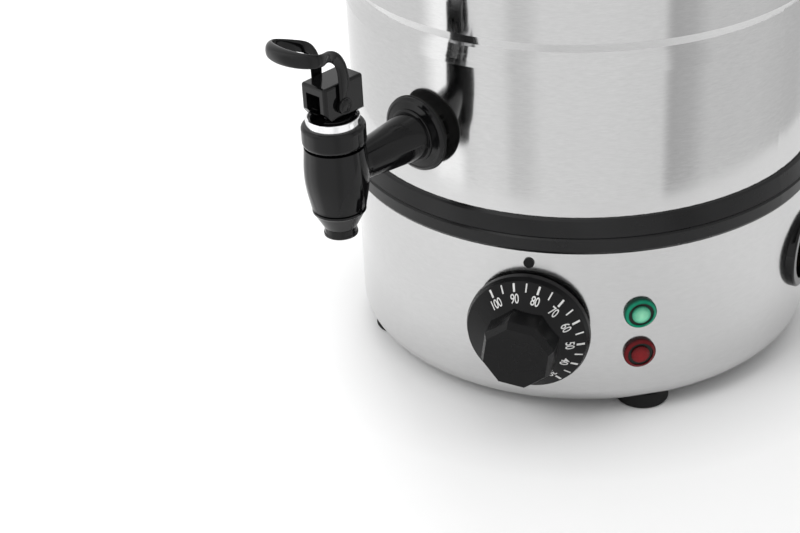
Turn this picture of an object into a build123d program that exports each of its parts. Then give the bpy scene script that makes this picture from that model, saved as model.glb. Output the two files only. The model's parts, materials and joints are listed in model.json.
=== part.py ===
from build123d import *
import os
from math import sin, cos, tan, radians, sqrt, hypot, atan2, degrees

# Hot water urn: a plain steel drum on a base housing, with a dial, two pilot lamps and a loop-lever tap.
# Frame: origin on the tank's axis at the level of the table, +Z up, the tap points to -Y and the
# dial and lamps lie on the +X side of it. Millimetres. Azimuths turn from the tap towards +X.

os.makedirs("parts", exist_ok=True)

# ---- clearances ---------------------------------------------------------------------------------
SLIP = 0.05          # radial play between pieces that are clamped or welded together
RUN = 0.05           # radial running play of pins and spindles
GAP = 0.3            # play between pieces of different moving bodies

# ---- base housing -------------------------------------------------------------------------------
TANK_R = 105.0       # outside radius of the drum and of the base
SHEET = 1.0          # thickness of the steel sheet
FOOT_H = 7.0
FOOT_R = 12.0
FOOT_INSET = 15.0    # distance of the feet's middles from the drum's surface
FOOT_AZ = 56.0
FEET = 4
BASE_H = 79.3        # height of the base shell above the feet
BASE_ROUND = 7.0     # rounding of its lower edge
BASE_LIP = 21.0      # width of the flange turned in at the bottom
PLATE_T = 1.2
SCREW_R = 2.0
SCREW_HEAD_R = 3.6
SCREW_HEAD_H = 2.2
SCREW_LEN = 7.0
VENT_SLOTS = 6
VENT_LEN = 34.0
VENT_W = 4.0
VENT_REACH = 0.42    # place of the vent slots as a share of the plate's radius

# ---- trim ring ----------------------------------------------------------------------------------
TRIM_OUT = 3.4       # how far the ring stands out from the drum
TRIM_LOW = 1.5       # how far its lip reaches down over the base
TRIM_HIGH = 14.1     # how far it reaches up over the tank
TRIM_WEB = 2.5       # web that the tank stands on
TRIM_WEB_W = 7.0
TRIM_BEAD_Z = 5.8    # height of the soft groove above the base

# ---- tank ---------------------------------------------------------------------------------------
TANK_TOP = 414.0     # height of the rim above the table
FLOOR_Z = 107.0      # top of the tank floor
FLOOR_SKIRT = 6.0
GROOVE_Z = 170.8     # middle of the lower pressed groove
GROOVE_HIGH_Z = 352.0
GROOVE_H = 13.5
GROOVE_IN = 1.8
RIM_R = 2.3          # radius of the rolled rim

# ---- heating and control ------------------------------------------------------------------------
ELEMENT_RING = 66.0
ELEMENT_R = 4.1
ELEMENT_LIFT = 17.0  # height of the element above the tank floor
ELEMENT_GAP_AZ = 22.0
ELEMENT_BEND = 10.0
ELEMENT_TAIL = 26.0  # length of the cold ends under the floor
GLAND_R = 6.5
GLAND_FLANGE_R = 10.0
GLAND_FLANGE_T = 2.5
NUT_T = 5.0
NUT_AF = 19.0
POCKET_RING = 38.0
POCKET_AZ = 118.0
POCKET_R = 4.6
POCKET_H = 46.0
POCKET_THREAD = 1.9  # how much thicker the pocket's threaded end is
POCKET_END = 9.0     # length of that end below the floor
POCKET_FLANGE = 4.5
POCKET_FLANGE_T = 2.0
POCKET_CAP = 1.2
BULB_R = 3.2
BULB_L = 34.0
BULB_PLAY = 0.2      # play of the bulb in its pocket
BULB_TOP_GAP = 2.5
CAPILLARY_R = 1.0
CAPILLARY_RUN = 26.0
CAPILLARY_BEND = 8.0
CUTOUT_R = 12.0
CUTOUT_T = 9.0
CUTOUT_RING = 62.0
CUTOUT_AZ = 262.0

DIAL_AZ = 26.6
DIAL_Z = 46.5
SKIRT_R = 26.9       # the numbered skirt of the knob, a cone that rises to the grip
SKIRT_RIM = 2.5      # depth of its rim
SKIRT_LAND = 0.9     # width of the steep bevel between rim and cone
SKIRT_LAND_H = 2.3   # and its height
SKIRT_SLOPE = 0.575  # rise of the cone for each millimetre towards the middle
SKIRT_WALL = 1.8
SKIRT_OFF = 1.5      # air between its rim and the drum
SKIRT_RIBS = 6
SEAL_T = 0.8         # washer under the knob's hub
GRIP_SIDES = 8
GRIP_R = 16.2        # corner radius of the grip
GRIP_FOOT_R = 13.6   # radius at which the cone ends inside the grip
GRIP_H = 21.8        # height of the grip's face above the skirt's rim
GRIP_EDGE = 3.5      # depth of the bevel round its face
GRIP_EDGE_TAPER = 24.2
GRIP_TURN = 31.3     # azimuth of the first corner, clockwise from the top
SPINDLE_R = 3.0
SPINDLE_FLAT = 1.4
SPINDLE_BACK = 12.0  # how far the spindle reaches back into the thermostat
SPINDLE_SHORT = 6.0
NECK_WALL = 2.4      # wall of the thermostat's bushing round the spindle
THERMO_W = 42.0
THERMO_H = 34.0
THERMO_D = 30.0
THERMO_PLATE_T = 1.5
DIAL_HUB_R = 6.5
INDEX_DROP = 8.2     # distance of the index stud below the top of the base
INDEX_R = 2.3
TAB_W = 6.3          # blade terminals
TAB_T = 0.8
TAB_L = 9.0

LAMP_AZ = 52.2
LAMP_HIGH_Z = 53.6
LAMP_LOW_Z = 33.6
LAMP_R = 7.1
LAMP_PROUD = 2.6
LAMP_CAP_R = 4.0
LAMP_INSERT_R = 5.5
LAMP_BARREL_R = 5.0
LAMP_BARREL_L = 20.0

INLET_AZ = 107.0
INLET_Z = 48.5
INLET_R = 17.6
INLET_PROUD = 2.6
INLET_RECESS_R = 13.5
INLET_RECESS = 15.0
INLET_BODY_R = 15.4
INLET_BODY_L = 26.0
PIN_W = 4.0
PIN_T = 2.0
PIN_L = 9.0
PIN_SPREAD = 14.0
PIN_DROP = 4.0

BLOCK_L = 46.0       # terminal block
BLOCK_W = 18.0
BLOCK_H = 15.0
BLOCK_WAYS = 4

# ---- tap ----------------------------------------------------------------------------------------
TAP_REACH = 155.7    # distance from the drum's axis to the tap's axis
SHANK_Z = 130.2
WASHER_R = 18.0
WASHER_RIM = 1.0     # thickness of the outer washer's rim
WASHER_FOOT_R = 13.6 # the washer's saddle that lies on the drum
WASHER_T = 4.7       # thickness of the washer at its middle
FLANGE_R = 16.2
FLANGE_EDGE = 0.9    # height of the flange's outer edge
FLANGE_FACE_R = 15.0
FLANGE_T = 1.6
FLANGE_RISE = 1.5    # height of the cone from the flange's face up to the bead
SHANK_BEAD_R = 11.5
SHANK_ROOT_R = 10.5
SHANK_END_R = 7.5
TAIL_R = 9.0         # threaded tail inside the tank
TAIL_L = 18.0
SHANK_BORE_R = 4.2
INNER_WASHER_R = 15.0
INNER_WASHER_T = 3.5
LOCKNUT_AF = 28.0
LOCKNUT_T = 7.0
SPOUT_Z = 103.6
SPOUT_R = 6.7
SPOUT_RIM = 0.3
SPOUT_BORE_R = 5.3
SPOUT_L = 3.4        # straight part of the spout
LIP_Z = 114.6        # height of the barrel's lower edge
LIP_R = 11.2
LIP_H = 2.6          # height of its double bead
LIP_GROOVE = 0.9
BARREL_R = 13.1
BARREL_BELLY_Z = 129.0
BARREL_TOP_R = 12.4
BARREL_TOP_Z = 143.3
CHAMBER_R = 8.6
SEAT_Z = 112.5       # underside of the seat that the valve disc closes
SEAT_T = 5.0
SEAT_BORE_R = 3.4

COLLAR_R = 12.95
COLLAR_H = 9.5
COLLAR_OFF = 0.2     # joint line between barrel and collar
COLLAR_LOW = 2.6     # rounding of the collar's lower edge
COLLAR_TOP = 1.6
RING_R = 10.96
RING_WALL = 1.1
RING_TOP_Z = 156.3
RING_DEPTH = 5.0
BONNET_TOP_Z = 155.4
BONNET_PLUG = 7.0    # how far the bonnet reaches down into the barrel
WELL_R = 4.2
WELL_DEPTH = 8.0

YOKE_L = 21.2
YOKE_W = 13.4
YOKE_H = 15.0
YOKE_FOOT = 1.6      # height of the foot that carries the yoke clear of the bright ring
YOKE_BACK = 1.05     # how far the yoke's middle lies behind the stem
YOKE_SLOT = 7.5
YOKE_CROWN = 3.5
YOKE_BEVEL = 3.6     # long bevel under the yoke's front
YOKE_BEVEL_H = 4.4
YOKE_SIDE_BEVEL = 1.0
YOKE_EDGE = 1.1
PIVOT_AHEAD = 0.4    # how far the lever's pivot lies ahead of the stem
PIVOT_Z = 162.7
PIVOT_R = 1.5

ARM_T = 1.3
ARM_GAP = 0.25       # side play between yoke and lever arms
ARM_BACK = 3.4       # reach of the lever's upright arms behind the pivot
ARM_FRONT = 2.1      # and ahead of it
ARM_RISE = 12.0      # height of the arms' straight part above the pivot
BOSS_R = 3.3
BOSS_PROUD = 0.4
NOTCH_LOW = 1.8      # small notch behind each arm just above its boss
NOTCH_HIGH = 5.8
NOTCH_IN = 2.9
LEVER_TOP = 28.0     # height of the loop's upper face above the pivot
LEVER_BAND = 5.3     # height of the loop's wall
LOOP_TIP = 25.2      # reach of the loop's tip ahead of the pivot
LOOP_HALF = 12.0
LOOP_MIDDLE = 16.7   # reach of its widest place
LOOP_HOLE_FRONT = 16.8
LOOP_WALL = 2.2
CAM_HUB_R = 2.3
CAM_W = 6.6
CAM_NOSE_R = 0.8
CAM_REACH = 3.0

STEM_R = 1.9
BUTTON_R = 3.5
BUTTON_T = 1.5
DISC_R = 4.6
DISC_T = 3.0
ORING_R = 0.9
SPRING_TURNS = 5
SPRING_WIRE = 0.35

# ---- handles and lid ----------------------------------------------------------------------------
HANDLE_Z = 322.0
HANDLE_SPAN = 27.0   # half the angle that a handle covers
HANDLE_CLEAR = 21.0  # finger gap between the drum and the grip
HANDLE_GRIP = 15.0
HANDLE_H = 24.0
HANDLE_POST = 15.0
HANDLE_SOFT = 5.0
BRACKET_T = 2.0
BRACKET_W = 18.0

LID_PLAY = 0.8       # play between the lid's edge and the rolled rim
LID_EDGE_H = 5.0
LID_DOME = 15.0
LID_SHEET = 1.2
PLUG_GAP = 1.2       # play between the lid's plug and the tank
PLUG_DEPTH = 13.0
KNOB_R = 23.0
KNOB_H = 24.0
KNOB_NECK_R = 13.0
KNOB_FOOT_R = 17.0
VENT_R = 2.6
VENT_RING = 62.0
LID_VENTS = 3


# ---- helpers ------------------------------------------------------------------------------------
def ray(az, r, z):
    """Plane on the outward ray at an azimuth: x to the right as seen from outside, y up."""
    a = radians(az)
    return Plane(origin=(r * sin(a), -r * cos(a), z), x_dir=(cos(a), sin(a), 0), z_dir=(sin(a), -cos(a), 0))


def level(x, y, z):
    return Plane(origin=(x, y, z), x_dir=(1, 0, 0), z_dir=(0, 0, 1))


def outline(points, rounds=()):
    """Closed face through points; rounds lists (point index, radius)."""
    face = make_face(Polyline(*points, close=True))
    for index, radius in rounds:
        x, y = points[index]
        corner = min(face.vertices(), key=lambda v: hypot(v.X - x, v.Y - y))
        face = fillet(corner, radius)
    return face


def turned(points, rounds=(), plane=None):
    """Solid turned about the plane's z axis from a half section of (radius, height) points."""
    body = revolve(Plane.XZ * outline(points, rounds), Axis.Z)
    return body if plane is None else plane * body


def disc(plane, r, low, high):
    return plane * Pos(0, 0, low) * Cylinder(r, high - low, align=(Align.CENTER, Align.CENTER, Align.MIN))


def ring(plane, r_out, r_in, low, high):
    return disc(plane, r_out, low, high) - disc(plane, r_in, low - 1, high + 1)


def brick(plane, w, h, low, high):
    return plane * Pos(0, 0, low) * Box(w, h, high - low, align=(Align.CENTER, Align.CENTER, Align.MIN))


def drum(r, low, high):
    return disc(Plane.XY, r, low, high)


def hexagon(plane, across, low, high, bore):
    body = plane * extrude(Pos(0, 0, low) * RegularPolygon(across / 2, 6, major_radius=False), high - low)
    return body - disc(plane, bore, low - 1, high + 1)


def around(count, start, shape):
    return [Rot(0, 0, start + k * 360 / count) * shape for k in range(count)]


def save(name, *shapes):
    solids = [s for shape in shapes for s in shape.solids()]
    export_step(solids[0] if len(solids) == 1 else Compound(children=solids), f"parts/{name}.step")


# ---- base housing -------------------------------------------------------------------------------
base_top = FOOT_H + BASE_H
inner_r = TANK_R - SHEET
lip_r = TANK_R - BASE_LIP
neck_r = SPINDLE_R + NECK_WALL
foot_ring = TANK_R - FOOT_INSET
index_z = base_top - INDEX_DROP
shell_plane = {"dial": ray(DIAL_AZ, 0, DIAL_Z), "inlet": ray(INLET_AZ, 0, INLET_Z)}
lamp_planes = [ray(LAMP_AZ, 0, z) for z in (LAMP_HIGH_Z, LAMP_LOW_Z)]

base_shell = turned(
    [(lip_r, FOOT_H), (TANK_R, FOOT_H), (TANK_R, base_top), (inner_r, base_top),
     (inner_r, FOOT_H + SHEET), (lip_r, FOOT_H + SHEET)],
    [(1, BASE_ROUND), (4, BASE_ROUND - SHEET)])
base_shell -= disc(shell_plane["dial"], neck_r + SLIP, inner_r - 9, TANK_R + 1)
base_shell -= disc(ray(DIAL_AZ, 0, index_z), INDEX_R - 0.6, inner_r - 9, TANK_R + 1)
base_shell -= disc(shell_plane["inlet"], INLET_BODY_R + SLIP, inner_r - 9, TANK_R + 1)
for plane in lamp_planes:
    base_shell -= disc(plane, LAMP_BARREL_R + SLIP, inner_r - 9, TANK_R + 1)

plate_z = FOOT_H + SHEET
plate_r = inner_r - BASE_ROUND
bottom_plate = drum(plate_r, plate_z, plate_z + PLATE_T)
slot = level(0, plate_r * VENT_REACH, plate_z - 1) * extrude(SlotOverall(VENT_LEN, VENT_W), PLATE_T + 2)
for cut in around(VENT_SLOTS, 30, slot):
    bottom_plate -= cut

foot_at = Pos(0, -foot_ring, 0)
foot_top_r = FOOT_R - 1.0
head_z = 2.4
foot = foot_at * turned(
    [(SCREW_HEAD_R + 0.6, 0), (FOOT_R, 0), (foot_top_r, FOOT_H), (SCREW_R + SLIP, FOOT_H),
     (SCREW_R + SLIP, head_z + SCREW_HEAD_H), (SCREW_HEAD_R + 0.6, head_z + SCREW_HEAD_H)],
    [(1, 1.5)])
screw = foot_at * turned(
    [(0, head_z), (SCREW_HEAD_R, head_z), (SCREW_HEAD_R, head_z + SCREW_HEAD_H), (SCREW_R, head_z + SCREW_HEAD_H),
     (SCREW_R, head_z + SCREW_HEAD_H + SCREW_LEN + 2), (0, head_z + SCREW_HEAD_H + SCREW_LEN + 2)], [(1, 1.0)])
screw_hole = foot_at * Cylinder(SCREW_R + SLIP, 60)
for hole in around(FEET, FOOT_AZ, screw_hole):
    base_shell -= hole
    bottom_plate -= hole
save("base_shell", base_shell)
save("bottom_plate", bottom_plate)
save("feet", *around(FEET, FOOT_AZ, foot))
save("foot_screws", *around(FEET, FOOT_AZ, screw))

# ---- trim ring ----------------------------------------------------------------------------------
trim_in = TANK_R + SLIP
trim_out = TANK_R + TRIM_OUT
trim_low = base_top - TRIM_LOW
trim_high = base_top + TRIM_HIGH
tank_low = base_top + TRIM_WEB
bead_z = base_top + TRIM_BEAD_Z
trim_ring = turned(
    [(trim_in, trim_low), (trim_out - 0.9, trim_low), (trim_out, trim_low + 1.4), (trim_out, bead_z - 0.7),
     (trim_out - 0.7, bead_z), (trim_out - 0.3, bead_z + 0.7), (trim_out - 1.9, trim_high - 0.8),
     (trim_out - 2.6, trim_high), (trim_in, trim_high), (trim_in, tank_low),
     (TANK_R - TRIM_WEB_W, tank_low), (TANK_R - TRIM_WEB_W, base_top), (trim_in, base_top)],
    [(2, 0.7), (6, 0.6)])
save("trim_ring", trim_ring)


# ---- tank ---------------------------------------------------------------------------------------
def groove(z):
    """Half section of a pressed groove from its soft foot up to its sharp upper crease."""
    low, high = z - GROOVE_H / 2, z + GROOVE_H / 2
    return [(TANK_R, low), (TANK_R - 0.22 * GROOVE_IN, low + 0.17 * GROOVE_H),
            (TANK_R - 0.62 * GROOVE_IN, low + 0.38 * GROOVE_H), (TANK_R - 0.97 * GROOVE_IN, low + 0.6 * GROOVE_H),
            (TANK_R - GROOVE_IN, low + 0.7 * GROOVE_H), (TANK_R, high)]


wall = [(TANK_R, tank_low)] + groove(GROOVE_Z) + groove(GROOVE_HIGH_Z) + [(TANK_R, TANK_TOP)]
tank_shell = turned(wall + [(r - SHEET, z) for r, z in reversed(wall)])
rim_z = TANK_TOP + RIM_R * 0.4
rim_c = TANK_R - SHEET + RIM_R
rim_top = rim_z + RIM_R
tank_shell += revolve(Plane.XZ * Pos(rim_c, rim_z) * Circle(RIM_R), Axis.Z)
tap_hole = disc(ray(0, 0, SHANK_Z), TAIL_R + SLIP, inner_r - 6, TANK_R + 3)
tank_shell -= tap_hole

floor_r = inner_r - SLIP
tank_floor = turned(
    [(0, FLOOR_Z - SHEET), (floor_r - 4, FLOOR_Z - SHEET), (floor_r, FLOOR_Z + 1.5), (floor_r, FLOOR_Z + FLOOR_SKIRT),
     (floor_r - SHEET, FLOOR_Z + FLOOR_SKIRT), (floor_r - SHEET, FLOOR_Z + 2), (floor_r - 4.5, FLOOR_Z),
     (0, FLOOR_Z)])

# heating element: a ring with two cold ends bent down through the floor
bend = ELEMENT_BEND
ring_z = FLOOR_Z + ELEMENT_LIFT
ring_az = 180 - ELEMENT_GAP_AZ - degrees(bend / ELEMENT_RING)


def on_ring(az, r, z):
    return Vector(r * sin(radians(az)), -r * cos(radians(az)), z)


def cold_end(side):
    """Edges of one cold end, from the ring's end down to its tip."""
    az = 180 + side * (180 - ring_az)
    start = on_ring(az, ELEMENT_RING, ring_z)
    along = Vector(cos(radians(az)), sin(radians(az)), 0) * -side
    knee = start + along * bend - Vector(0, 0, bend)
    middle = start - Vector(0, 0, bend) + along * (bend * sin(radians(45))) + Vector(0, 0, bend * cos(radians(45)))
    tip = Vector(knee.X, knee.Y, FLOOR_Z - ELEMENT_TAIL)
    return start, middle, knee, tip


first, last = cold_end(1), cold_end(-1)
element_path = Wire([
    Line(first[3], first[2]).edge(), ThreePointArc(first[2], first[1], first[0]).edge(),
    ThreePointArc(first[0], on_ring(0, ELEMENT_RING, ring_z), last[0]).edge(),
    ThreePointArc(last[0], last[1], last[2]).edge(), Line(last[2], last[3]).edge()])
element = sweep(Plane(origin=first[3], z_dir=(0, 0, 1)) * Circle(ELEMENT_R), element_path)

gland_planes = [level(end[3].X, end[3].Y, FLOOR_Z) for end in (first, last)]
glands, gland_nuts = [], []
for plane in gland_planes:
    gland = disc(plane, GLAND_FLANGE_R, 0, GLAND_FLANGE_T) + disc(plane, GLAND_R, -SHEET - NUT_T - 1.5, 0)
    glands.append(gland - disc(plane, ELEMENT_R + SLIP, -20, 20))
    gland_nuts.append(hexagon(plane, NUT_AF, -SHEET - NUT_T, -SHEET, GLAND_R + SLIP))
    tank_floor -= disc(plane, GLAND_R + SLIP, -5, 5)

# dry pocket for the sensor bulb, closed at the top and open below the floor
pocket_at = on_ring(POCKET_AZ, POCKET_RING, FLOOR_Z)
pocket_plane = level(pocket_at.X, pocket_at.Y, FLOOR_Z)
pocket_bore = BULB_R + BULB_PLAY
thread_r = POCKET_R + POCKET_THREAD
flange_r = POCKET_R + POCKET_FLANGE
pocket = turned([(pocket_bore, -POCKET_END), (thread_r, -POCKET_END), (thread_r, 0), (flange_r, 0),
                 (flange_r, POCKET_FLANGE_T), (POCKET_R, POCKET_FLANGE_T), (POCKET_R, POCKET_H), (0, POCKET_H),
                 (0, POCKET_H - POCKET_CAP), (pocket_bore, POCKET_H - POCKET_CAP)], [(6, 2.0)], pocket_plane)
pocket_nut = hexagon(pocket_plane, NUT_AF, -SHEET - NUT_T, -SHEET, thread_r + SLIP)
tank_floor -= disc(pocket_plane, thread_r + SLIP, -5, 5)
bulb_top = POCKET_H - BULB_TOP_GAP
bulb = disc(pocket_plane, BULB_R, bulb_top - BULB_L, bulb_top)
save("tank_shell", tank_shell)
save("tank_floor", tank_floor)
save("heating_element", element)
save("element_glands", *glands)
save("floor_nuts", *gland_nuts, pocket_nut)
save("sensor_pocket", pocket)

# thermostat behind the dial, and its capillary up to the bulb
dial = shell_plane["dial"]
dial_in = TANK_R * cos(radians(24.0)) - SHEET     # depth at which the mounting plate clears the curved shell
thermo_front = dial_in
thermo_plate = brick(dial, THERMO_W + 8, THERMO_H * 0.7, thermo_front - THERMO_PLATE_T, thermo_front)
thermo_plate -= disc(dial, neck_r + SLIP, 0, TANK_R)
thermo_body = brick(dial, THERMO_W, THERMO_H, thermo_front - THERMO_PLATE_T - THERMO_D, thermo_front - THERMO_PLATE_T)
thermo_body = fillet(thermo_body.edges().filter_by(Axis((0, 0, 0), tuple(dial.z_dir))), 3.0)
neck = disc(dial, neck_r, thermo_front - THERMO_PLATE_T - 1, TANK_R)
thermo_body += neck
spindle_back = thermo_front - SPINDLE_BACK
thermo_body -= disc(dial, SPINDLE_R + RUN, spindle_back - GAP, TANK_R + 5)
tab_z = thermo_front - THERMO_PLATE_T - THERMO_D
tabs = [brick(dial * Pos(x * THERMO_W / 4, y * THERMO_H / 4, 0), TAB_W, TAB_T, tab_z - TAB_L, tab_z)
        for x in (-1, 1) for y in (-1, 1)]
capillary_start = on_ring(DIAL_AZ, tab_z, DIAL_Z)
capillary_end = Vector(pocket_at.X, pocket_at.Y, FLOOR_Z + bulb_top - BULB_L)
out = Vector(sin(radians(DIAL_AZ)), -cos(radians(DIAL_AZ)), 0)
capillary_path = FilletPolyline(
    capillary_start, capillary_start - out * CAPILLARY_RUN, Vector(pocket_at.X, pocket_at.Y, DIAL_Z), capillary_end,
    radius=CAPILLARY_BEND)
capillary = sweep(Plane(origin=capillary_start, z_dir=tuple(-out)) * Circle(CAPILLARY_R), capillary_path)
save("thermostat_body", thermo_body)
save("thermostat_plate", thermo_plate)
save("thermostat_tabs", *tabs)
save("sensor_bulb", bulb)
save("capillary", capillary)

# boil-dry cut-out clipped under the tank floor
cutout_at = on_ring(CUTOUT_AZ, CUTOUT_RING, FLOOR_Z - SHEET)
cutout_plane = level(cutout_at.X, cutout_at.Y, FLOOR_Z - SHEET)
cutout = turned([(0, -CUTOUT_T), (CUTOUT_R * 0.62, -CUTOUT_T), (CUTOUT_R * 0.7, -4), (CUTOUT_R, -3.5), (CUTOUT_R, 0),
                 (0, 0)], [(4, 0.8)], cutout_plane)
cutout_tabs = [brick(cutout_plane * Pos(x * CUTOUT_R / 3, 0, 0), TAB_T, TAB_W, -CUTOUT_T - TAB_L, -CUTOUT_T)
               for x in (-1, 1)]
save("boil_dry_cutout", cutout)
save("cutout_tabs", *cutout_tabs)

# terminal block on the bottom plate
block_plane = level(-20, 30, plate_z + PLATE_T)
block = brick(block_plane, BLOCK_L, BLOCK_W, 0, BLOCK_H)
for k in range(BLOCK_WAYS):
    x = (k - (BLOCK_WAYS - 1) / 2) * BLOCK_L / BLOCK_WAYS
    block -= disc(block_plane * Pos(x, 0, 0), 2.6, BLOCK_H - 6, BLOCK_H + 1)
    block -= brick(block_plane * Pos(x, 0, 3), 5, BLOCK_W + 2, 0, 5)
save("terminal_block", block)

# ---- dial ---------------------------------------------------------------------------------------
skirt_back = TANK_R + SKIRT_OFF
skirt_face = skirt_back + SKIRT_RIM
hub_back = TANK_R + SEAL_T + 0.4
seal = ring(dial, DIAL_HUB_R + 2.5, neck_r + SLIP, inner_r, TANK_R + SEAL_T) - drum(TANK_R, 0, base_top)
save("dial_seal", seal)

cone_low = skirt_face + SKIRT_LAND_H
cone_r = SKIRT_R - SKIRT_LAND
cone_top = cone_low + (cone_r - GRIP_FOOT_R) * SKIRT_SLOPE
bore_r = SPINDLE_R + SLIP
skirt = turned([(bore_r, hub_back), (DIAL_HUB_R, hub_back), (DIAL_HUB_R, cone_top - SKIRT_WALL),
                (GRIP_FOOT_R, cone_top - SKIRT_WALL), (SKIRT_R - SKIRT_WALL, skirt_face - SKIRT_WALL / 2),
                (SKIRT_R - SKIRT_WALL, skirt_back), (SKIRT_R, skirt_back), (SKIRT_R, skirt_face), (cone_r, cone_low),
                (GRIP_FOOT_R, cone_top), (bore_r, cone_top)], [(7, 0.5)], dial)
rib_view = outline([(DIAL_HUB_R - 0.5, skirt_back + 1.4), (SKIRT_R - SKIRT_WALL + 0.5, skirt_back + 1.4),
                    (SKIRT_R - SKIRT_WALL + 0.5, skirt_face), (GRIP_FOOT_R, cone_top - SKIRT_WALL / 2),
                    (DIAL_HUB_R - 0.5, cone_top - SKIRT_WALL / 2)])
rib = Plane.XZ * extrude(rib_view, SKIRT_WALL * 0.4, both=True)
for rib_turned in around(SKIRT_RIBS, 15, rib):
    skirt += dial * rib_turned
grip_low = cone_low + (cone_r - GRIP_R) * SKIRT_SLOPE - 1.0
grip_face = skirt_face + GRIP_H
grip_at = dial * Rot(0, 0, 90 - GRIP_TURN)
grip_plan = RegularPolygon(GRIP_R, GRIP_SIDES)
grip = grip_at * extrude(Pos(0, 0, grip_low) * grip_plan, grip_face - GRIP_EDGE - grip_low)
grip += grip_at * extrude(Pos(0, 0, grip_face - GRIP_EDGE) * grip_plan, GRIP_EDGE, taper=GRIP_EDGE_TAPER)
grip -= turned([(0, skirt_back), (cone_r, skirt_back), (cone_r, cone_low + SLIP), (GRIP_FOOT_R, cone_top + SLIP),
                (0, cone_top + SLIP)], (), dial)
spindle_tip = grip_face - SPINDLE_SHORT
grip -= disc(dial, bore_r, skirt_face - 1, spindle_tip + SLIP)
spindle = disc(dial, SPINDLE_R, spindle_back, spindle_tip)
spindle -= brick(dial * Pos(0, SPINDLE_FLAT + 5, 0), 20, 10, hub_back, spindle_tip + 1)
save("dial_skirt", skirt)
save("dial_grip", grip)
save("dial_spindle", spindle)
index_stud = disc(ray(DIAL_AZ, 0, index_z), INDEX_R, TANK_R - 0.1, TANK_R + 0.7)
index_stud -= drum(TANK_R, 0, TANK_TOP)
index_stud += disc(ray(DIAL_AZ, 0, index_z), INDEX_R - 0.6 - SLIP, inner_r - 1.5, TANK_R + 0.5)
save("index_stud", index_stud)

# ---- pilot lamps --------------------------------------------------------------------------------
lamp_face = TANK_R + LAMP_PROUD
lenses, inserts, lamp_bodies = [], [], []
for plane in lamp_planes:
    lens = turned([(0, TANK_R - 1), (LAMP_R, TANK_R - 1), (LAMP_R, lamp_face - 1.2), (LAMP_INSERT_R, lamp_face),
                   (LAMP_INSERT_R, lamp_face - 1.6), (LAMP_CAP_R, lamp_face - 1.6), (LAMP_CAP_R, lamp_face + 0.1),
                   (LAMP_CAP_R - 1.2, lamp_face + 0.8), (0, lamp_face + 0.8)], [(2, 0.6)], plane)
    lens -= drum(TANK_R + SLIP, 0, TANK_TOP)
    lenses.append(lens)
    inserts.append(ring(plane, LAMP_INSERT_R - SLIP, LAMP_CAP_R + SLIP, lamp_face - 1.6, lamp_face - 0.7))
    barrel = disc(plane, LAMP_BARREL_R, inner_r - LAMP_BARREL_L, TANK_R - 0.3)
    barrel += [brick(plane * Pos(0, y, 0), 2.8, 0.8, inner_r - LAMP_BARREL_L - 7, inner_r - LAMP_BARREL_L + 1)
               for y in (-2.4, 2.4)]
    lamp_bodies.append(barrel)
save("lamp_green", lenses[0])
save("lamp_red", lenses[1])
save("lamp_inserts", *inserts)
save("lamp_bodies", *lamp_bodies)

# ---- appliance inlet ----------------------------------------------------------------------------
inlet = shell_plane["inlet"]
inlet_face = TANK_R + INLET_PROUD
recess_floor = inlet_face - INLET_RECESS
inlet_back = TANK_R - INLET_BODY_L
shroud = turned([(0, inlet_back), (INLET_BODY_R, inlet_back), (INLET_BODY_R, TANK_R - 3), (INLET_R, TANK_R - 3),
                 (INLET_R, inlet_face), (INLET_RECESS_R, inlet_face), (INLET_RECESS_R, recess_floor),
                 (0, recess_floor)], [(1, 1.5), (4, 1.0)], inlet)
shroud -= ring(inlet, INLET_R + 1, INLET_BODY_R, inner_r - 30, TANK_R) & drum(TANK_R + SLIP, 0, TANK_TOP)
pins = []
for x, y in ((-PIN_SPREAD / 2, -PIN_DROP / 2), (PIN_SPREAD / 2, -PIN_DROP / 2), (0, PIN_DROP / 2 + 2)):
    place = inlet * Pos(x, y, 0)
    pin = brick(place, PIN_T, PIN_W, inlet_back - 8, recess_floor + PIN_L)
    shroud -= brick(place, PIN_T, PIN_W, inlet_back - 9, recess_floor + PIN_L)
    pins.append(pin)
save("inlet_shroud", shroud)
save("inlet_pins", *pins)

# ---- tap: shank, barrel and spout in one moulding ------------------------------------------------
tap = Pos(0, -TAP_REACH, 0)
shank = ray(0, 0, SHANK_Z)
washer_face = TANK_R + WASHER_T
flange_face = washer_face + FLANGE_T
bead_face = flange_face + FLANGE_RISE
tail_end = inner_r - TAIL_L
lip_top = LIP_Z + LIP_H
barrel = tap * revolve(Plane.XZ * make_face([
    Polyline((0, BARREL_TOP_Z), (0, SPOUT_Z), (SPOUT_R + SPOUT_RIM, SPOUT_Z), (SPOUT_R + SPOUT_RIM, SPOUT_Z + 0.9),
             (SPOUT_R, SPOUT_Z + 1.2), (SPOUT_R, SPOUT_Z + SPOUT_L), (LIP_R - 0.6, LIP_Z - 0.5),
             (LIP_R - 0.2, LIP_Z), (LIP_R - 0.2, LIP_Z + 0.9), (LIP_R - LIP_GROOVE, LIP_Z + 1.1),
             (LIP_R - LIP_GROOVE, LIP_Z + 1.5), (LIP_R, LIP_Z + 1.8), (LIP_R + 0.1, lip_top)),
    Spline((LIP_R + 0.1, lip_top), (LIP_R + 0.72 * (BARREL_R - LIP_R), BARREL_BELLY_Z - 5),
           (BARREL_R, BARREL_BELLY_Z), (BARREL_TOP_R, BARREL_TOP_Z), tangents=[(0.2, 1), (-0.08, 1)]),
    Line((BARREL_TOP_R, BARREL_TOP_Z), (0, BARREL_TOP_Z))]), Axis.Z)
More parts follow.
